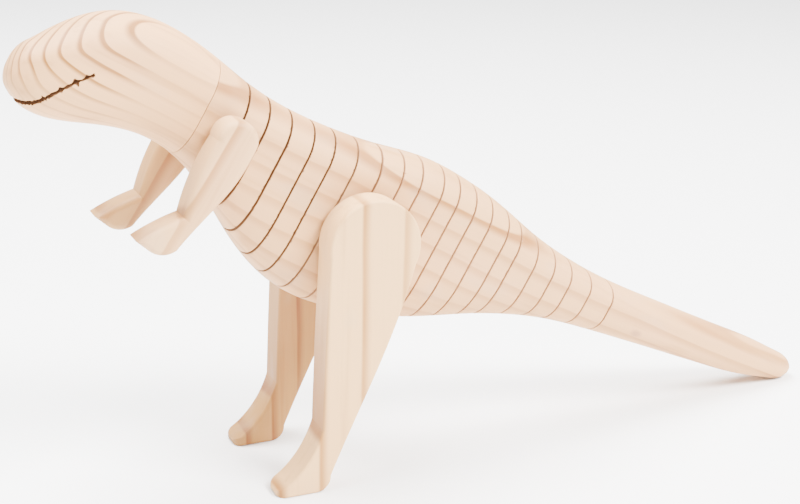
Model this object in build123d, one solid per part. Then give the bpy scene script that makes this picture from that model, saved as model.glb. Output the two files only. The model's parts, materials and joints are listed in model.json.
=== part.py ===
from build123d import *
import math
import os

# Wooden wiggle dinosaur: a pine blank split by a flexible strip and cut across into slices,
# with a glued-on head, two standing legs and two arms that turn on blind dowels.
# The blank is drawn lying down (X along its grain, Z up its height) and is then tilted nose up.
# Millimetres; the head points along -X, +Z is up, and the feet and tail tip stand on Z = 0.

BLANK_TILT = 30.0          # how far the grain of the blank leans, nose up
MIDDLE_X = 56.6            # middle of the whole length, which becomes the origin
STRIP_THICKNESS = 0.6      # flexible strip glued in the middle plane
STRIP_REACH = 8.0          # how far the strip runs into the tail past the last cut
GLUE_LINE = 0.02           # gap that the glue fills round a peg
KERF = 0.8                 # width of each saw cut
SEAM = -88.4               # glued joint between the head block and the blank
KERFS = [-76.8, -69.0, -60.8, -52.5, -45.0, -36.8, -28.2, -20.4, -13.6, -5.4,
         1.2, 8.4, 15.7, 23.6, 29.9, 38.5, 46.8, 54.8, 64.2, 74.8]
HIP_SEGMENT = 7            # the slice between cuts 7 and 8 carries the legs

CROWN_MAX = 11.0           # depth of the rounded back, where the body is tall
FLANK_MAX = 17.0           # depth over which a flank turns under to the belly
RIDGE_WIDTH = 0.55         # half-width of the flat belly, as a share of the half-width
BELLY_ARCH = 2.2           # rise of the belly ridge over the middle of the belly
CIRCLE = 0.5523            # control ratio that makes a cubic curve a quarter ellipse

LIMB_THICKNESS = 11.0
LIMB_GAP = 1.6             # air between a limb and the flank it turns beside
BODY_HALF = 13.5           # half the thickness of the board
PEG_RADIUS = 2.0
PEG_CLEARANCE = 0.06       # running clearance in the limb
PEG_IN_BODY = 9.0
PEG_IN_LIMB = 7.0
LEG_EDGE = 0.8             # rounding of the legs' edges
TOE_ROUND = 4.0            # the toes' corners, seen from above
RIGHT_LEG_SHIFT = -1.0     # the right leg is cut a little further forward of its peg
ARM_EDGE = 2.0             # rounding of the arms' edges
HIP_HEIGHT = 76.2          # height of the hip peg above the blank's base line
LEFT_SHOULDER = (-81.6, 83.6)
RIGHT_SHOULDER = (-81.9, 78.9)

MOUTH_WIDTH = 1.2          # the mouth is one saw cut right through the snout
MOUTH_LINE = [(-122.3, 85.1), (-127.1, 79.4), (-132.6, 72.4), (-137.0, 66.0), (-141.0, 60.0)]

# Profile of head and body: place along the grain, underside, back, half-width.
STATIONS = [
    (-142.0, 75.6, 78.4, 2.5), (-141.2, 72.8, 81.6, 5.5), (-139.1, 69.6, 85.6, 8.5),
    (-135.6, 67.5, 90.4, 10.9), (-131.0, 66.5, 96.2, 12.5), (-124.0, 67.3, 102.2, 13.3),
    (-114.0, 70.6, 106.2, 13.5), (-102.0, 73.8, 107.0, 13.5), (-88.4, 73.4, 105.3, 13.5),
    (-78.0, 69.8, 103.2, 13.5), (-62.0, 60.0, 101.6, 13.5), (-45.0, 51.8, 102.3, 13.5),
    (-28.0, 49.3, 104.6, 13.5), (-11.0, 52.0, 107.8, 13.5), (5.0, 56.4, 108.0, 13.5),
    (22.0, 64.0, 106.0, 13.5), (39.0, 71.6, 102.5, 13.4), (56.0, 77.1, 100.4, 12.9),
    (77.0, 80.9, 99.9, 11.8), (100.0, 84.0, 101.3, 10.4), (130.0, 87.8, 103.7, 8.6),
    (150.0, 91.1, 105.2, 7.2), (162.0, 94.3, 105.4, 5.8), (168.4, 97.2, 104.3, 4.0),
    (170.8, 99.6, 102.5, 2.0)]

os.makedirs("parts", exist_ok=True)


def tilted(shape):
    """The blank's drawing position turned nose up."""
    return Rot(0, BLANK_TILT, 0) * shape


def stood_up(along, height):
    """X and Z of a point of the blank once it is tilted."""
    lean = math.radians(BLANK_TILT)
    return (along * math.cos(lean) + height * math.sin(lean),
            -along * math.sin(lean) + height * math.cos(lean))


def cross_section(along, under, back, half):
    """Closed outline across the grain: arched belly, turned-under flanks, flat sides, round back."""
    tall = back - under
    crown = min(CROWN_MAX, 0.36 * tall)
    turn = min(FLANK_MAX, 0.42 * tall)
    ridge = RIDGE_WIDTH * half
    rise = min(BELLY_ARCH, 0.06 * tall)
    plane = Plane(origin=(along, 0, 0), x_dir=(0, 1, 0), z_dir=(1, 0, 0))
    with BuildSketch(plane) as sketch:
        with BuildLine():
            Bezier((-ridge, under + rise), (-0.4 * ridge, under), (0.4 * ridge, under), (ridge, under + rise))
            Bezier((ridge, under + rise), (ridge + 0.22 * half, under + rise + 0.1 * turn),
                   (half, under + 0.5 * turn), (half, under + turn))
            Line((half, under + turn), (half, back - crown))
            Bezier((half, back - crown), (half, back - crown * (1 - CIRCLE)), (CIRCLE * half, back), (0, back))
            Bezier((0, back), (-CIRCLE * half, back), (-half, back - crown * (1 - CIRCLE)), (-half, back - crown))
            Line((-half, back - crown), (-half, under + turn))
            Bezier((-half, under + turn), (-half, under + 0.5 * turn),
                   (-ridge - 0.22 * half, under + rise + 0.1 * turn), (-ridge, under + rise))
        make_face()
    return sketch.sketch


def slab(start, end, low, high):
    """A box from start to end along the grain and from low to high across it."""
    return Pos((start + end) / 2, (low + high) / 2, 80) * Box(end - start, high - low, 120)


def beside(line, distance):
    """The points of a line moved square to it by a distance."""
    moved = []
    for number, (x, z) in enumerate(line):
        before, after = line[max(number - 1, 0)], line[min(number + 1, len(line) - 1)]
        run, rise = after[0] - before[0], after[1] - before[1]
        length = math.hypot(run, rise)
        moved.append((x - distance * rise / length, z + distance * run / length))
    return moved


def mouth_cut():
    """A slightly bent saw cut through the whole width of the snout."""
    upper, lower = beside(MOUTH_LINE, MOUTH_WIDTH / 2), beside(MOUTH_LINE, -MOUTH_WIDTH / 2)
    with BuildPart() as cut:
        with BuildSketch(Plane.XZ):
            with BuildLine():
                Spline(*upper)
                Line(upper[-1], lower[-1])
                Spline(*lower)
                Line(lower[0], upper[0])
            make_face()
        extrude(amount=20, both=True)
    return cut.part


def peg_along_y(point, start, length, radius):
    """A cylinder on a limb's axis, starting at the given Y and running along +Y."""
    return Pos(point[0], start + length / 2, point[1]) * Rot(90, 0, 0) * Cylinder(radius, length)


def leg_outline():
    with BuildLine() as line:
        Line((-13.6, 0), (-1.8, 0))
        ThreePointArc((-1.8, 0), (1.63, 1.49), (2.9, 5.0))
        Spline((2.9, 5.0), (12.5, 26.0), (19.5, 41.0), (26.0, 56.8), (31.0, 72.0))
        ThreePointArc((31.0, 72.0), (17.0, 93.6), (2.7, 77.0))
        Spline((2.7, 77.0), (1.3, 50.0), (0.2, 21.0))
        Spline((0.2, 21.0), (-3.6, 12.6), (-9.4, 5.6), (-14.45, 2.05))
        ThreePointArc((-14.45, 2.05), (-14.71, 0.74), (-13.6, 0))
    return line


def arm_outline():
    with BuildLine() as line:
        ThreePointArc((-31.4, 116.2), (-24.0, 121.2), (-19.4, 113.4))
        Spline((-19.4, 113.4), (-23.5, 106.2), (-30.9, 97.8), (-44.3, 84.7))
        ThreePointArc((-44.3, 84.7), (-48.4, 83.7), (-52.4, 85.4))
        Line((-52.4, 85.4), (-56.0, 88.6))
        Spline((-56.0, 88.6), (-51.2, 91.0), (-42.0, 94.4))
        Spline((-42.0, 94.4), (-38.2, 104.6), (-31.4, 116.2))
    return line


def limb(outline, side, peg, edge, move=(0, 0)):
    """A board cut to an outline, with eased edges and a blind hole for its peg."""
    inner = BODY_HALF + LIMB_GAP
    middle = side * (inner + LIMB_THICKNESS / 2)
    with BuildPart() as board:
        with BuildSketch(Plane.XZ.offset(-middle)):
            add(outline.line.moved(Location((move[0], move[1], 0))))
            make_face()
        extrude(amount=LIMB_THICKNESS / 2, both=True)
        faces = board.faces().filter_by(Axis.Y)
        fillet(faces.edges(), edge)
    start = inner - 1 if side > 0 else -inner - PEG_IN_LIMB
    return board.part - peg_along_y(peg, start, PEG_IN_LIMB + 1, PEG_RADIUS + PEG_CLEARANCE)


def toe_column(leg, side):
    """An upright block round a leg, with its two front corners rounded as seen from above."""
    middle = side * (BODY_HALF + LIMB_GAP + LIMB_THICKNESS / 2)
    front = leg.bounding_box().min.X
    block = Pos(front + 40, middle, 50) * Box(80, LIMB_THICKNESS, 102)
    return fillet(block.edges().filter_by(Axis.Z).group_by(Axis.X)[0], TOE_ROUND)


def peg(point, side):
    """A dowel from inside the body half to the bottom of the limb's blind hole."""
    length = PEG_IN_BODY + LIMB_GAP + PEG_IN_LIMB - 0.3
    start = BODY_HALF - PEG_IN_BODY
    return peg_along_y(point, start if side > 0 else -start - length, length, PEG_RADIUS)


def socket(point, side):
    """The blind hole in the body half that a peg is glued into."""
    start = BODY_HALF - PEG_IN_BODY - 0.1
    length = PEG_IN_BODY + 2
    return peg_along_y(point, start if side > 0 else -start - length, length, PEG_RADIUS + GLUE_LINE)


hip = stood_up((KERFS[HIP_SEGMENT - 1] + KERFS[HIP_SEGMENT]) / 2, HIP_HEIGHT)
left_shoulder = stood_up(*LEFT_SHOULDER)
right_shoulder = stood_up(*RIGHT_SHOULDER)

blank = loft([cross_section(*station) for station in STATIONS])
first, last = STATIONS[0][0], STATIONS[-1][0]
strip_end = KERFS[-1] + STRIP_REACH

parts = {}
parts["head_block"] = tilted((blank & slab(first - 1, SEAM, -20, 20)) - mouth_cut())

halves = {"left": -1, "right": 1}       # the head points along -X, so its left is -Y
edges = [SEAM] + KERFS
for number, (start, end) in enumerate(zip(edges, edges[1:])):
    name = "neck" if number == 0 else f"segment_{number:02d}"
    front = start if number == 0 else start + KERF / 2
    for half, side in halves.items():
        low, high = sorted((side * STRIP_THICKNESS / 2, side * 20))
        parts[f"{name}_{half}"] = tilted(blank & slab(front, end - KERF / 2, low, high))

tail = blank & slab(KERFS[-1] + KERF / 2, last + 1, -20, 20)
tail_slot = slab(KERFS[-1] - 1, strip_end, -STRIP_THICKNESS / 2, STRIP_THICKNESS / 2)
parts["tail_end"] = tilted(tail - tail_slot)
strip_room = slab(SEAM, strip_end, -STRIP_THICKNESS / 2, STRIP_THICKNESS / 2)
parts["spine_strip"] = tilted(blank & strip_room)

for half, side in halves.items():
    shoulder = left_shoulder if half == "left" else right_shoulder
    parts[f"segment_{HIP_SEGMENT:02d}_{half}"] -= socket(hip, side)
    parts[f"neck_{half}"] -= socket(shoulder, side)
    parts[f"hip_peg_{half}"] = peg(hip, side)
    parts[f"shoulder_peg_{half}"] = peg(shoulder, side)
    shift = (shoulder[0] - left_shoulder[0], shoulder[1] - left_shoulder[1])
    leg = limb(leg_outline(), side, hip, LEG_EDGE, (RIGHT_LEG_SHIFT if half == "right" else 0, 0))
    parts[f"leg_{half}"] = leg & toe_column(leg, side)
    parts[f"arm_{half}"] = limb(arm_outline(), side, shoulder, ARM_EDGE, shift)

# The origin is under the middle of the whole toy, on the surface it stands on.
for name, shape in parts.items():
    export_step(Pos(-MIDDLE_X, 0, 0) * shape, f"parts/{name}.step")
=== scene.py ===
import json
import math

import bpy
import numpy as np
from mathutils import Matrix, Vector


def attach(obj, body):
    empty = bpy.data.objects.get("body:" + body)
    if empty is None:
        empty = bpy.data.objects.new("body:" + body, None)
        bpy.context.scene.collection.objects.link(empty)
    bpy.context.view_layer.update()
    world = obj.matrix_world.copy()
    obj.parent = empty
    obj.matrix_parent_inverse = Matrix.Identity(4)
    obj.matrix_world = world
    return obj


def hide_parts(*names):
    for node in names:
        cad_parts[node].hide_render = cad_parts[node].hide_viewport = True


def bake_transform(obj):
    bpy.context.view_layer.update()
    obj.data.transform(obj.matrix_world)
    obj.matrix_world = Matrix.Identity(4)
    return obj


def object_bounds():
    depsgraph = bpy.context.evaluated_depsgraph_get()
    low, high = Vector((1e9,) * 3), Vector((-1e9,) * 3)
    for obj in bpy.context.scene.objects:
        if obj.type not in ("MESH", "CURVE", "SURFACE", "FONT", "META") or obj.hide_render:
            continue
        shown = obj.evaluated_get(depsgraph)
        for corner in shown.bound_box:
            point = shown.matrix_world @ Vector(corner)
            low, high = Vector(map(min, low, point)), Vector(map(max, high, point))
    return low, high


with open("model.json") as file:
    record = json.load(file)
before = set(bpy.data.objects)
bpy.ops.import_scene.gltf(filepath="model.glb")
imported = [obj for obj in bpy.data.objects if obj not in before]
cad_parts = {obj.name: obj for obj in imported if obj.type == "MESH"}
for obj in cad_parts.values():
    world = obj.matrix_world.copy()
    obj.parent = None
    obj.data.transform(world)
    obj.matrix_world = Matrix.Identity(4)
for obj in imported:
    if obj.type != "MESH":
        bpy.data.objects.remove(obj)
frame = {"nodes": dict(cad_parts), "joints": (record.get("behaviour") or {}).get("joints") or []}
cad_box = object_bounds()
joints = {joint["name"]: joint for joint in frame["joints"]}
nodes = frame["nodes"]


# ---- The blank -------------------------------------------------------------------------------
# One board of soft pine carries neck, body and tail. It is band-sawn to the animal's outline,
# rounded over along the back and turned under at the belly, and leans nose up when it stands.
LEAN = math.radians(30)
PROFILE = np.array([
    (-142.0, 75.6, 78.4, 2.5), (-141.2, 72.8, 81.6, 5.5), (-139.1, 69.6, 85.6, 8.5),
    (-135.6, 67.5, 90.4, 10.9), (-131.0, 66.5, 96.2, 12.5), (-124.0, 67.3, 102.2, 13.3),
    (-114.0, 70.6, 106.2, 13.5), (-102.0, 73.8, 107.0, 13.5), (-88.4, 73.4, 105.3, 13.5),
    (-78.0, 69.8, 103.2, 13.5), (-62.0, 60.0, 101.6, 13.5), (-45.0, 51.8, 102.3, 13.5),
    (-28.0, 49.3, 104.6, 13.5), (-11.0, 52.0, 107.8, 13.5), (5.0, 56.4, 108.0, 13.5),
    (22.0, 64.0, 106.0, 13.5), (39.0, 71.6, 102.5, 13.4), (56.0, 77.1, 100.4, 12.9),
    (77.0, 80.9, 99.9, 11.8), (100.0, 84.0, 101.3, 10.4), (130.0, 87.8, 103.7, 8.6),
    (150.0, 91.1, 105.2, 7.2), (162.0, 94.3, 105.4, 5.8), (168.4, 97.2, 104.3, 4.0),
    (170.8, 99.6, 102.5, 2.0)]) / 1000
MIDDLE = 0.0566            # from the blank's own origin to the toy's middle
SEAM = -0.0884             # glued joint with the head
STRIP_HALF = 0.0003        # half the thickness of the strip in the middle plane
BOARD_HALF = 0.01345       # half the thickness of the dressed board
SANDED = 0.00003           # taken off the crown by sanding
BELLY_END, FLANK_END, SIDE_END = 0.14, 0.42, 0.66    # stages of the half outline
QUARTER = 0.5523           # handle length that makes a Bezier cubic a quarter of an ellipse


def smooth_through(knots, values, at):
    """Natural cubic spline: second derivatives from the banded system that joins the spans smoothly,
    then in each span the straight line plus the cubic terms of those derivatives."""
    gap, count = np.diff(knots), len(knots)
    inner = np.arange(1, count - 1)
    system, right = np.eye(count), np.zeros(count)
    system[inner, inner - 1], system[inner, inner + 1] = gap[:-1], gap[1:]
    system[inner, inner] = 2 * (gap[:-1] + gap[1:])
    right[inner] = 6 * np.diff(np.diff(values) / gap)
    curve = np.linalg.solve(system, right)
    span = np.clip(np.searchsorted(knots, at, side="right") - 1, 0, count - 2)
    width = gap[span]
    after = (at - knots[span]) / width
    before = 1 - after
    bend = ((before ** 3 - before) * curve[span] + (after ** 3 - after) * curve[span + 1]) * width ** 2 / 6
    return before * values[span] + after * values[span + 1] + bend


def cubic(a, b, c, d, along):
    """Bezier cubic: the four control values weighted with the Bernstein polynomials."""
    left = 1 - along
    return left ** 3 * a + 3 * left ** 2 * along * b + 3 * left * along ** 2 * c + along ** 3 * d


def half_outline(along, turn):
    """Half the cross-section from belly middle (turn 0) to crown middle (turn 1), as width and height:
    arched belly, flank turned under, straight side, quarter-ellipse back, each a cubic or a line."""
    under, back, half = (smooth_through(PROFILE[:, 0], PROFILE[:, n], along) for n in (1, 2, 3))
    half, back = np.minimum(half, BOARD_HALF), back - SANDED
    tall = back - under
    crown, tuck = np.minimum(0.011, 0.36 * tall), np.minimum(0.017, 0.42 * tall)
    ridge, rise = 0.55 * half, np.minimum(0.0022, 0.06 * tall)
    stages = [turn < BELLY_END, turn < FLANK_END, turn < SIDE_END]
    belly, flank = turn / (2 * BELLY_END) + 0.5, (turn - BELLY_END) / (FLANK_END - BELLY_END)
    side, top = (turn - FLANK_END) / (SIDE_END - FLANK_END), (turn - SIDE_END) / (1 - SIDE_END)
    wide = np.select(stages, [
        cubic(-ridge, -0.4 * ridge, 0.4 * ridge, ridge, belly),
        cubic(ridge, ridge + 0.22 * half, half, half, flank),
        half + 0 * side], cubic(half, half, QUARTER * half, 0 * half, top))
    high = np.select(stages, [
        cubic(under + rise, under, under, under + rise, belly),
        cubic(under + rise, under + rise + 0.1 * tuck, under + 0.5 * tuck, under + tuck, flank),
        under + tuck + side * (tall - tuck - crown)],
        cubic(back - crown, back - (1 - QUARTER) * crown, back, back, top))
    return wide, high


def stood_up(along, across, height):
    """Blank coordinates turned nose up about the cross axis and moved to the toy's own origin."""
    return np.stack([along * math.cos(LEAN) + height * math.sin(LEAN) - MIDDLE, across + 0 * along,
                     -along * math.sin(LEAN) + height * math.cos(LEAN)], -1)


def closed_surface(name, rings, materials, wall_rows=(), caps=0):
    """Rings of points joined one to the next with four-cornered faces; the first and last are filled.
    Rows in wall_rows take the second material, and so do the two filled ends if caps is 1."""
    rows, around = rings.shape[:2]
    number = np.arange(rows * around).reshape(rows, around)
    here, beyond = number[:-1], number[1:]
    quads = np.stack([here, np.roll(here, -1, 1), np.roll(beyond, -1, 1), beyond], -1).reshape(-1, 4)
    corners = np.concatenate([quads.ravel(), number[0][::-1], number[-1]])
    starts = np.concatenate([np.arange(len(quads)) * 4, [len(quads) * 4, len(quads) * 4 + around]])
    slots = np.zeros((rows - 1, around), int)
    slots[list(wall_rows)] = 1
    mesh = bpy.data.meshes.new(name)
    mesh.vertices.add(rows * around)
    mesh.vertices.foreach_set("co", rings.ravel())
    mesh.loops.add(len(corners))
    mesh.loops.foreach_set("vertex_index", corners)
    mesh.polygons.add(len(starts))
    mesh.polygons.foreach_set("loop_start", starts)
    mesh.polygons.foreach_set("material_index", np.concatenate([slots.ravel(), [caps, caps]]))
    mesh.update(calc_edges=True)
    mesh.validate()
    a, b, c = (rings.reshape(-1, 3)[quads[:, n]] for n in (0, 1, 2))
    if (np.cross(b - a, c - a) * (a - rings.reshape(-1, 3).mean(0))).sum() < 0:
        mesh.flip_normals()
    mesh.shade_smooth()
    mesh.set_sharp_from_angle(angle=math.radians(40))
    for material in materials:
        mesh.materials.append(material)
    piece = bpy.data.objects.new(name, mesh)
    bpy.context.scene.collection.objects.link(piece)
    return piece


class Amount:
    """A number that varies over a surface: a shader socket on which sums and products add Math nodes."""

    def __init__(self, finish, socket):
        self.finish, self.socket = finish, socket

    def math(self, operation, *others):
        return self.finish.node("ShaderNodeMath", {"operation": operation}, list(others))

    def __add__(self, other): return self.math("ADD", self, other)
    def __radd__(self, other): return self.math("ADD", other, self)
    def __sub__(self, other): return self.math("SUBTRACT", self, other)
    def __rsub__(self, other): return self.math("SUBTRACT", other, self)
    def __mul__(self, other): return self.math("MULTIPLY", self, other)
    def __rmul__(self, other): return self.math("MULTIPLY", other, self)
    def __truediv__(self, other): return self.math("DIVIDE", self, other)
    def __rtruediv__(self, other): return self.math("DIVIDE", other, self)
    def __pow__(self, other): return self.math("POWER", self, other)
    def __abs__(self): return self.math("ABSOLUTE", self)
    def fraction(self): return self.math("FRACT", self)
    def root(self): return self.math("SQRT", self)

    def ramp(self, low, high):
        """0 below low, 1 above high, and a smooth step between them."""
        return self.finish.node("ShaderNodeMapRange", {"interpolation_type": "SMOOTHSTEP"},
                                {"Value": self, "From Min": low, "From Max": high}, "Result")


class Finish:
    """A material under construction."""

    def __init__(self, name, roughness=0.6, specular=0.3):
        self.material = bpy.data.materials.new(name)
        self.material.use_nodes = True
        self.tree = self.material.node_tree
        self.shader = self.tree.nodes["Principled BSDF"]
        self.shader.inputs["Roughness"].default_value = roughness
        self.shader.inputs["Specular IOR Level"].default_value = specular

    def node(self, kind, settings=None, inputs=None, output=0):
        """Adds a node: settings first, then socket values or links; gives the named output."""
        made = self.tree.nodes.new(kind)
        for key, value in (settings or {}).items():
            setattr(made, key, value)
        pairs = enumerate(inputs) if isinstance(inputs, list) else (inputs or {}).items()
        for key, value in pairs:
            if isinstance(value, Amount):
                self.tree.links.new(value.socket, made.inputs[key])
            else:
                made.inputs[key].default_value = value
        return Amount(self, made.outputs[output])

    def place(self, turn=(0, 0, 0), move=(0, 0, 0)):
        """Object coordinates turned into the board's own directions."""
        spot = self.node("ShaderNodeTexCoord", output="Object")
        return self.node("ShaderNodeMapping", {}, {"Vector": spot, "Rotation": turn, "Location": move})

    def parts(self, vector):
        """The three coordinates of a place."""
        split = self.node("ShaderNodeSeparateXYZ", {}, [vector])
        return [Amount(self, split.socket.node.outputs[n]) for n in range(3)]

    def noise(self, vector, stretch, detail=2.0, roughness=0.5):
        """Noise whose features are finer along the directions with the larger stretch."""
        scaled = self.node("ShaderNodeVectorMath", {"operation": "MULTIPLY"}, [vector, stretch])
        return self.node("ShaderNodeTexNoise", {}, {
            "Vector": scaled, "Scale": 1.0, "Detail": detail, "Roughness": roughness})

    def blended(self, share, first, second):
        """Two colours mixed by a share; 6 and 7 are the Mix node's colour inputs, 2 its colour output."""
        first, second = (colour if isinstance(colour, Amount) else (*colour, 1) for colour in (first, second))
        return self.node("ShaderNodeMix", {"data_type": "RGBA"}, {0: share, 6: first, 7: second}, 2)

    def set(self, name, value):
        self.tree.links.new(value.socket, self.shader.inputs[name])

    def raised(self, height, distance, strength=1.0):
        """Bump from a height between 0 and 1 that stands for a distance in metres."""
        self.set("Normal", self.node("ShaderNodeBump", {}, {
            "Height": height, "Distance": distance, "Strength": strength}))


def pine(name, board, pith, ring, early, late, strong, marks=(), wander=0.0009, pink=0.12,
         onset=0.5):
    """Pine cut from a log: growth rings are circles about a pith line that runs along the board's
    first direction, each pale at first and brown from onset to its end; fine fibres run the same way.
    strong is how far the rings stand out at a place, wander how far they stray, pink the share of
    rosy clouds; marks are (place, radius) of small knots. Places are in the board's directions."""
    blush, fibre_brown = (0.70, 0.36, 0.22), (0.45, 0.26, 0.12)
    stain, knot_brown = (0.45, 0.33, 0.23), (0.42, 0.22, 0.11)
    wood = Finish(name, 0.62, 0.28)
    place = wood.place(*board)
    along, across, height = wood.parts(place)
    drift = wood.noise(place, (9.0, 22.0, 22.0), 2.0)
    ripple = wood.noise(place, (30.0, 90.0, 90.0), 2.0)
    out = (((across - pith[0]) ** 2.0 + (height - pith[1]) ** 2.0).root()
           + (drift - 0.5) * wander * 6 + (ripple - 0.5) * wander)
    phase = (out / ring).fraction()
    line = phase.ramp(onset, 0.92) * (1 - phase.ramp(0.92, 1.0))
    fibre = wood.noise(place, (45.0, 1500.0, 1500.0), 3.0, 0.6)
    streak = wood.noise(place, (12.0, 260.0, 260.0), 3.0, 0.55)
    cloud = wood.noise(place, (14.0, 60.0, 60.0), 2.0)
    force = strong(along, across, height) * (0.55 + cloud.ramp(0.35, 0.62) * 0.45)
    colour = wood.blended(line * force, early, late)
    colour = wood.blended((cloud - 0.5).ramp(-0.05, 0.2) * pink, colour, blush)
    colour = wood.blended(streak.ramp(0.5, 0.78) * 0.3, colour, late)
    colour = wood.blended(fibre.ramp(0.45, 0.8) * 0.10, colour, fibre_brown)
    grey = wood.noise(place, (38.0, 70.0, 70.0), 2.0)
    colour = wood.blended(grey.ramp(0.56, 0.72) * 0.22, colour, stain)
    for spot, radius in marks:
        away = (((along - spot[0]) ** 2.0 * 0.35 + (across - spot[1]) ** 2.0
                 + (height - spot[2]) ** 2.0).root() + (ripple - 0.5) * radius * 0.8)
        colour = wood.blended(1 - away.ramp(radius * 0.3, radius), colour, knot_brown)
    wood.set("Base Color", colour)
    wood.set("Roughness", 0.5 + fibre * 0.16 - line * 0.05)
    wood.raised(fibre * 0.5 + line * 0.3 + streak * 0.2, 0.00008, 0.6)
    return wood.material


def saw_wall_painted_glow(name, board, light, dark):
    """Wall of a saw cut: brown wood, darker at the front of the toy, with fine tooth lines; its colour is also
    emitted as a painted glow.
    """
    wall = Finish(name, 0.9, 0.1)
    place = wall.place(*board)
    along, _, _ = wall.parts(place)
    tooth = wall.noise(place, (2500.0, 300.0, 300.0), 2.0)
    colour = wall.blended(along.ramp(-0.050, -0.020), dark, light)
    wall.set("Base Color", wall.blended(tooth * 0.5, colour, dark))
    wall.set("Emission Color", colour)
    wall.shader.inputs["Emission Strength"].default_value = 0.62     # painted glow standing in for light that soaks through the thin slices
    wall.raised(tooth, 0.0001, 0.5)
    return wall.material


BOARD = ((0, -LEAN, 0), (MIDDLE * math.cos(LEAN), 0, MIDDLE * math.sin(LEAN)))
body_pine = pine("body_pine", BOARD, (0.030, 0.0242), 0.0062, (0.60, 0.325, 0.135), (0.30, 0.12, 0.025),
                 marks=[((0.0911, -0.0106, 0.0880), 0.0023)],
                 strong=lambda along, across, height:
                 0.5 + 0.7 * (1 - abs(height - 0.0985).ramp(0.001, 0.0035)) + along.ramp(0.06, 0.12) * 0.1)
# The walls of every saw cut, the mouth too, glow faintly in their own colour: painted light, not a lamp.
sawn = saw_wall_painted_glow("sawn_pine", BOARD, (0.46, 0.245, 0.125), (0.16, 0.075, 0.035))


# ---- Neck and slices -------------------------------------------------------------------------
# Twenty saw cuts go in from both flanks as far as the strip and leave a neck piece and nineteen
# slices, each in two halves. The blade tears small splinters out of the edges of every cut.
def blank_places(name):
    """How far along the blank a hinge lies, from its place in the frame."""
    x, _, z = joints[name]["pos_m"]
    return (x + MIDDLE) * math.cos(LEAN) - z * math.sin(LEAN)


cuts = np.array([blank_places(f"bend_{number:02d}") for number in range(1, 21)])
open_widths = np.full(20, 0.00061)
open_widths[[0, 1, 2, 6]] = 0.00070


def torn(turn, chance):
    """Depth that splinters reach in from a cut's edge: sines of mixed lengths, of which only the
    highest crests stay as chips, on a base that is never quite straight."""
    waves = chance.uniform(8, 75, 14)[:, None] * turn + chance.uniform(0, 1, 14)[:, None]
    rough = np.sin(2 * np.pi * waves).sum(0) / 14
    slow_waves = chance.uniform(2, 7, 3)[:, None] * turn + chance.uniform(0, 1, 3)[:, None]
    coarse = np.sin(2 * np.pi * slow_waves).sum(0)
    return 0.00004 + 0.00006 * rough + np.clip(rough + 0.07 * coarse - 0.24, 0, 0.4) * 0.0013


def half_slice(name, start, end, side, materials, first_torn, last_torn, chance):
    """The half outline carried along the blank, closed down the middle plane, with its ends eased
    in a little and pushed back where the wood is torn."""
    turn = np.linspace(0, 1, 236)
    inner = 6              # points down the middle plane
    grain = np.concatenate([[start, start, start + 0.00035], np.linspace(start + 0.0011, end - 0.0011, 7),
                            [end - 0.00035, end, end]])
    shrink = np.zeros(len(grain))
    shrink[[0, -1]], shrink[[1, -2]] = 0.05, 0.006
    push = np.zeros((len(grain), len(turn) + inner))
    for row, sign, wanted in ((1, 1, first_torn), (len(grain) - 2, -1, last_torn)):
        if wanted:
            push[row, :len(turn)] = sign * torn(turn, chance)
    along, around = np.meshgrid(grain, turn, indexing="ij")
    wide, high = half_outline(along, around)
    half = wide.max(1, keepdims=True)
    wide = STRIP_HALF + wide * (half - STRIP_HALF) / half
    drop = np.linspace(1, 0, inner + 2)[1:-1]
    wide = np.concatenate([wide, np.full((len(grain), inner), STRIP_HALF)], 1)
    high = np.concatenate([high, high[:, :1] + (high[:, -1:] - high[:, :1]) * drop], 1)
    middle_wide, middle_high = wide.mean(1, keepdims=True), high.mean(1, keepdims=True)
    wide = wide + (middle_wide - wide) * shrink[:, None]
    high = high + (middle_high - high) * shrink[:, None]
    wide = np.maximum(wide, STRIP_HALF)
    rings = stood_up(grain[:, None] + push, side * wide, high)
    walls = ([0] if first_torn else []) + ([len(grain) - 2] if last_torn else [])
    return closed_surface(name, rings, materials, walls, 1)


chance = np.random.default_rng(41)
starts = np.concatenate([[SEAM], cuts + open_widths / 2])
ends = cuts - open_widths / 2
for number, (start, end) in enumerate(zip(starts, ends)):
    name = "neck" if number == 0 else f"segment_{number:02d}"
    body = "head" if number == 0 else "hip" if number == 7 else name
    for half, side in (("left", -1), ("right", 1)):
        piece = half_slice(f"{name}_{half}_wood", start, end, side, [body_pine, sawn], number > 0, True, chance)
        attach(piece, body)
        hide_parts(f"{name}_{half}")


# ---- Spine strip -----------------------------------------------------------------------------
# A thin strip of undyed leather is glued in the middle plane of the whole blank. It is the hinge:
# only the short bridges in the saw cuts bend, so it is shown as one bridge for each cut.
def strip_leather():
    """Leather with a fine pebbled surface and soft colour changes."""
    hide = Finish("strip_leather", 0.75, 0.2)
    place = hide.place(*BOARD)
    pebble = hide.noise(place, (900.0, 900.0, 900.0), 3.0)
    patch = hide.noise(place, (60.0, 60.0, 60.0), 2.0)
    hide.set("Base Color", hide.blended(patch * 0.6 + pebble * 0.3, (0.62, 0.44, 0.29), (0.42, 0.27, 0.16)))
    hide.raised(pebble, 0.00015, 0.5)
    return hide.material


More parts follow.
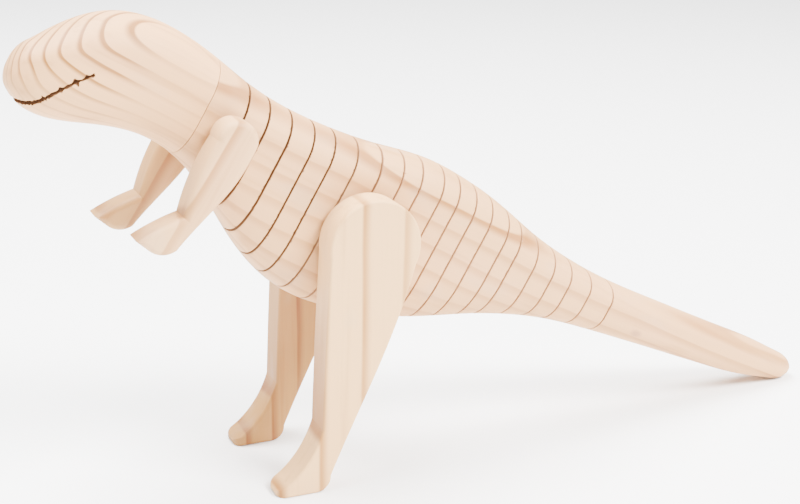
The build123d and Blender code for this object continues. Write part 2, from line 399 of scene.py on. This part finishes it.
leather = strip_leather()
middles = np.concatenate([[SEAM + 0.0002], (cuts[1:] + cuts[:-1]) / 2, [cuts[-1] + 0.00035]])
for number, cut in enumerate(cuts, 1):
    stretches = [np.linspace(middles[number - 1], cut - 0.0004, 4), np.linspace(cut - 0.0003, cut + 0.0003, 7)]
    if number < len(cuts):
        stretches.append(np.linspace(cut + 0.0004, middles[number], 4))
    grain = np.concatenate(stretches)
    under, back = (smooth_through(PROFILE[:, 0], PROFILE[:, n], grain) for n in (1, 2))
    levels = np.linspace(0, 1, 12)
    level = np.concatenate([levels, levels[::-1]])
    across = np.concatenate([np.full(12, -1.0), np.full(12, 1.0)]) * (STRIP_HALF - 0.00001)
    low, high = under[:, None] + 0.0004, back[:, None] - 0.0004
    rings = stood_up(grain[:, None] + 0 * level, across[None] + 0 * low, low + (high - low) * level)
    piece = closed_surface(f"strip_bridge_{number:02d}", rings, [leather])
    level_at = (under.mean() + back.mean()) / 2
    ends_at = stood_up(np.array([cut - 0.0004, cut + 0.0004]), 0, np.array([level_at, level_at]))
    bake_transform(piece)
    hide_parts("spine_strip")


# ---- Tail ------------------------------------------------------------------------------------
# Past the last cut the blank stays whole. It narrows to an oval tail that is rounded off at its
# tip, which rests on the table.
def whole_rings(grain, shrink, push):
    """The whole cross-section carried along the blank: the half outline and its mirror image."""
    turn = np.linspace(0, 1, 150)
    along, around = np.meshgrid(grain, turn, indexing="ij")
    wide, high = half_outline(along, around)
    wide = np.concatenate([wide, -wide[:, -2:0:-1]], 1)
    high = np.concatenate([high, high[:, -2:0:-1]], 1)
    middle = (high.max(1, keepdims=True) + high.min(1, keepdims=True)) / 2
    wide = wide * (1 - shrink[:, None])
    high = high + (middle - high) * shrink[:, None]
    loop = np.concatenate([turn, turn[-2:0:-1]])
    return grain[:, None] + push(loop), wide, high


start, tip = cuts[-1] + open_widths[-1] / 2, PROFILE[-1, 0]
grain = np.concatenate([[start, start, start + 0.00035], np.linspace(start + 0.0011, tip - 0.0012, 90),
                        [tip - 0.0005, tip - 0.0001, tip]])
shrink = np.zeros(len(grain))
shrink[0], shrink[1], shrink[-2:] = 0.05, 0.006, (0.12, 0.35)
tear = np.zeros(len(grain))
tear[1] = 1
along, wide, high = whole_rings(grain, shrink, lambda loop: tear[:, None] * torn(loop, chance))
rings = stood_up(along, wide, high)
rings[..., 2] = np.maximum(rings[..., 2], 0.00003)
tail = closed_surface("tail_wood", rings, [body_pine, sawn], [0], 0)
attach(tail, "tail")
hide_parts("tail_end")


# ---- Head ------------------------------------------------------------------------------------
# The head is a separate block, cut so that its growth rings run aslant and wrap over the snout,
# and glued to the neck with a fine seam. Its mouth is one rough saw cut right through the snout.
head_pine = pine("head_pine", BOARD, (0.062, 0.030), 0.0029, (0.66, 0.355, 0.148), (0.25, 0.10, 0.018),
                 strong=lambda along, across, height:
                 0.30 + 1.0 * (1 - along.ramp(-0.122, -0.104)) * height.ramp(0.068, 0.084),
                 wander=0.0006, pink=0.12, onset=0.6)
grain = np.concatenate([[-0.14185, -0.1418, -0.14165, -0.1414], np.linspace(-0.1411, SEAM - 0.0006, 130),
                        [SEAM - 0.00022, SEAM - 0.00006, SEAM - 0.00006]])
shrink = np.zeros(len(grain))
shrink[:3], shrink[-2:] = (0.5, 0.2, 0.06), (0.012, 0.08)
along, wide, high = whole_rings(grain, shrink, lambda loop: 0 * loop)
along = along + 0 * wide
rings = stood_up(along, wide, high)
rings[..., 0] = np.maximum(rings[..., 0], cad_box[0][0] + 0.00002)
head = closed_surface("head_wood", rings, [head_pine, sawn], [len(grain) - 3])
MOUTH = np.array([(-122.2, 85.4), (-126.4, 80.4), (-129.7, 75.5), (-131.6, 72.4), (-133.6, 70.0), (-137.0, 68.0),
                  (-142.0, 66.0)]) / 1000
steps = np.linspace(0, 1, 160)
knots = np.linspace(0, 1, len(MOUTH))
line = np.stack([smooth_through(knots, MOUTH[:, n], steps) for n in (0, 1)], -1)
run = np.gradient(line, axis=0)
square = np.stack([-run[:, 1], run[:, 0]], -1) / np.linalg.norm(run, axis=1, keepdims=True)
across = np.linspace(-0.017, 0.017, 120)


def lip(chance):
    """Half-width of the mouth over its length and the snout's width: wider at the front, with chips."""
    lengthwise, sideways, shift = chance.uniform(4, 26, 9), chance.uniform(-12, 12, 9), chance.uniform(0, 1, 9)
    fine = sum(np.sin(2 * np.pi * (a * steps[None, :] + b * across[:, None] / 0.034 + c))
               for a, b, c in zip(lengthwise, sideways, shift)) / 9
    return 0.00040 + 0.00040 * steps[None, :] + 0.00040 * fine + np.clip(fine - 0.28, 0, 1) * 0.0016


upper = line[None] + square[None] * lip(chance)[..., None]
lower = line[None] - square[None] * lip(chance)[..., None]
loop = np.concatenate([upper, lower[:, ::-1]], 1)
cutter = closed_surface("mouth_saw", stood_up(loop[..., 0], across[:, None], loop[..., 1]), [sawn])
saw = head.modifiers.new("mouth", "BOOLEAN")
saw.operation, saw.object, saw.solver = "DIFFERENCE", cutter, "EXACT"
saw.material_mode = "TRANSFER"
bpy.context.view_layer.update()
shaped = bpy.data.meshes.new_from_object(head.evaluated_get(bpy.context.evaluated_depsgraph_get()))
head.modifiers.clear()
head.data = shaped
bpy.data.objects.remove(cutter)
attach(head, "head")
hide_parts("head_block")


# ---- Dowels ----------------------------------------------------------------------------------
# Four short beech dowels are glued into the body; legs and arms turn on them. They keep their
# machined shape and only get the close, dark-flecked look of turned beech.
def turned_beech():
    """Beech: even and pale, with short dark flecks across the dowel's length."""
    rod = Finish("turned_beech", 0.6, 0.3)
    place = rod.place()
    fleck = rod.noise(place, (900.0, 120.0, 900.0), 2.0)
    rod.set("Base Color", rod.blended(fleck.ramp(0.45, 0.7) * 0.5, (0.66, 0.47, 0.30), (0.42, 0.27, 0.15)))
    rod.raised(fleck, 0.00006, 0.5)
    return rod.material


beech = turned_beech()
for node in ("hip_peg_left", "hip_peg_right", "shoulder_peg_left", "shoulder_peg_right"):
    nodes[node].data.materials.clear()
    nodes[node].data.materials.append(beech)


# ---- Legs ------------------------------------------------------------------------------------
# Two boards with the grain running down from hip to foot, band-sawn to shape with lightly eased
# edges. They turn on the hip dowels and stand on flat soles.
def all_over(share):
    """Rings that stand out by the same share everywhere."""
    return lambda along, across, height: share


DOWN_THE_LEG = [(0, math.radians(90), 0)]
leg_pine = {
    "left": pine("left_leg_pine", DOWN_THE_LEG, (-0.0206, -0.1031), 0.0134, (0.68, 0.40, 0.165),
                 (0.30, 0.115, 0.015), all_over(1.0), wander=0.0005, pink=0.06, onset=0.7),
    # The right leg stands on the far side; its much darker colours are painted shade.
    "right": pine("right_leg_pine", DOWN_THE_LEG, (0.0206, -0.0990), 0.0088, (0.36, 0.18, 0.048),
                  (0.19, 0.06, 0.008), all_over(1.0), wander=0.0005, pink=0.08, onset=0.6)}
for half in ("left", "right"):
    nodes[f"leg_{half}"].data.materials.clear()
    nodes[f"leg_{half}"].data.materials.append(leg_pine[half])


# ---- Arms ------------------------------------------------------------------------------------
# Two small boards with the grain along the upper arm and well rounded edges, on the shoulder
# dowels just behind the seam.
DOWN_THE_ARM = [(0, math.radians(57.3), 0)]
PINHOLE = ((0.0304, 0.0151, 0.1281), 0.0007)
arm_pine = {
    "left": pine("left_arm_pine", DOWN_THE_ARM, (-0.0206, 0.0158), 0.0085, (0.62, 0.36, 0.16),
                 (0.28, 0.105, 0.02), all_over(0.75), wander=0.0006, pink=0.12),
    # The right arm sits on the far side; its much darker colours are painted shade.
    "right": pine("right_arm_pine", DOWN_THE_ARM, (0.0206, 0.0148), 0.0085, (0.42, 0.225, 0.078),
                  (0.20, 0.065, 0.01), all_over(0.8), marks=[PINHOLE], wander=0.0006, pink=0.12)}
for half in ("left", "right"):
    nodes[f"arm_{half}"].data.materials.clear()
    nodes[f"arm_{half}"].data.materials.append(arm_pine[half])


# ---- Table, light and camera -----------------------------------------------------------------
# The toy stands on a plain white table in a white room, under one soft light from the front right,
# one from above and a weak one from the left. It is seen from in front of its left side.
table_mesh = bpy.data.meshes.new("table")
table_mesh.from_pydata([(-6, -6, 0), (6, -6, 0), (6, 6, 0), (-6, 6, 0)], [], [(0, 1, 2, 3)])
table = bpy.data.objects.new("table", table_mesh)
bpy.context.scene.collection.objects.link(table)
table.location.z = -0.0001
paper = Finish("white_table", 0.9, 0.1)
paper.shader.inputs["Base Color"].default_value = (0.93, 0.93, 0.93, 1)
table_mesh.materials.append(paper.material)

world = bpy.data.worlds.new("studio")
bpy.context.scene.world = world
world.use_nodes = True
world.node_tree.nodes["Background"].inputs["Color"].default_value = (1, 1, 1, 1)
world.node_tree.nodes["Background"].inputs["Strength"].default_value = 1.1


def soft_light(name, place, target, size, power):
    """A square soft box that faces a target."""
    light = bpy.data.lights.new(name, "AREA")
    light.size, light.energy = size, power
    lamp = bpy.data.objects.new(name, light)
    bpy.context.scene.collection.objects.link(lamp)
    lamp.location = place
    lamp.rotation_euler = (Vector(target) - Vector(place)).to_track_quat("-Z", "Y").to_euler()
    return lamp


soft_light("key", (0.55, -0.75, 1.05), (0, 0, 0.06), 0.6, 92)
soft_light("top", (-0.25, 0.25, 1.1), (-0.05, 0, 0.08), 0.8, 70)
soft_light("fill", (-0.9, -0.6, 0.7), (0, 0, 0.08), 0.9, 2)

AIM, DOWN, ROLL = math.radians(-24.01), math.radians(17.99), math.radians(0.96)
right = Vector((math.cos(AIM), math.sin(AIM), 0))
back = Vector((math.sin(AIM) * math.cos(DOWN), -math.cos(AIM) * math.cos(DOWN), math.sin(DOWN)))
up = back.cross(right)
right, up = (right * math.cos(ROLL) + up * math.sin(ROLL), up * math.cos(ROLL) - right * math.sin(ROLL))
lens = bpy.data.cameras.new("camera")
lens.lens, lens.sensor_width = 67.5, 36
lens.clip_start = 0.01
camera = bpy.data.objects.new("camera", lens)
bpy.context.scene.collection.objects.link(camera)
turned = Matrix((right, up, back)).transposed().to_4x4()
turned.translation = Vector((-0.20915, -0.4252, 0.2186))
camera.matrix_world = turned
bpy.context.scene.camera = camera
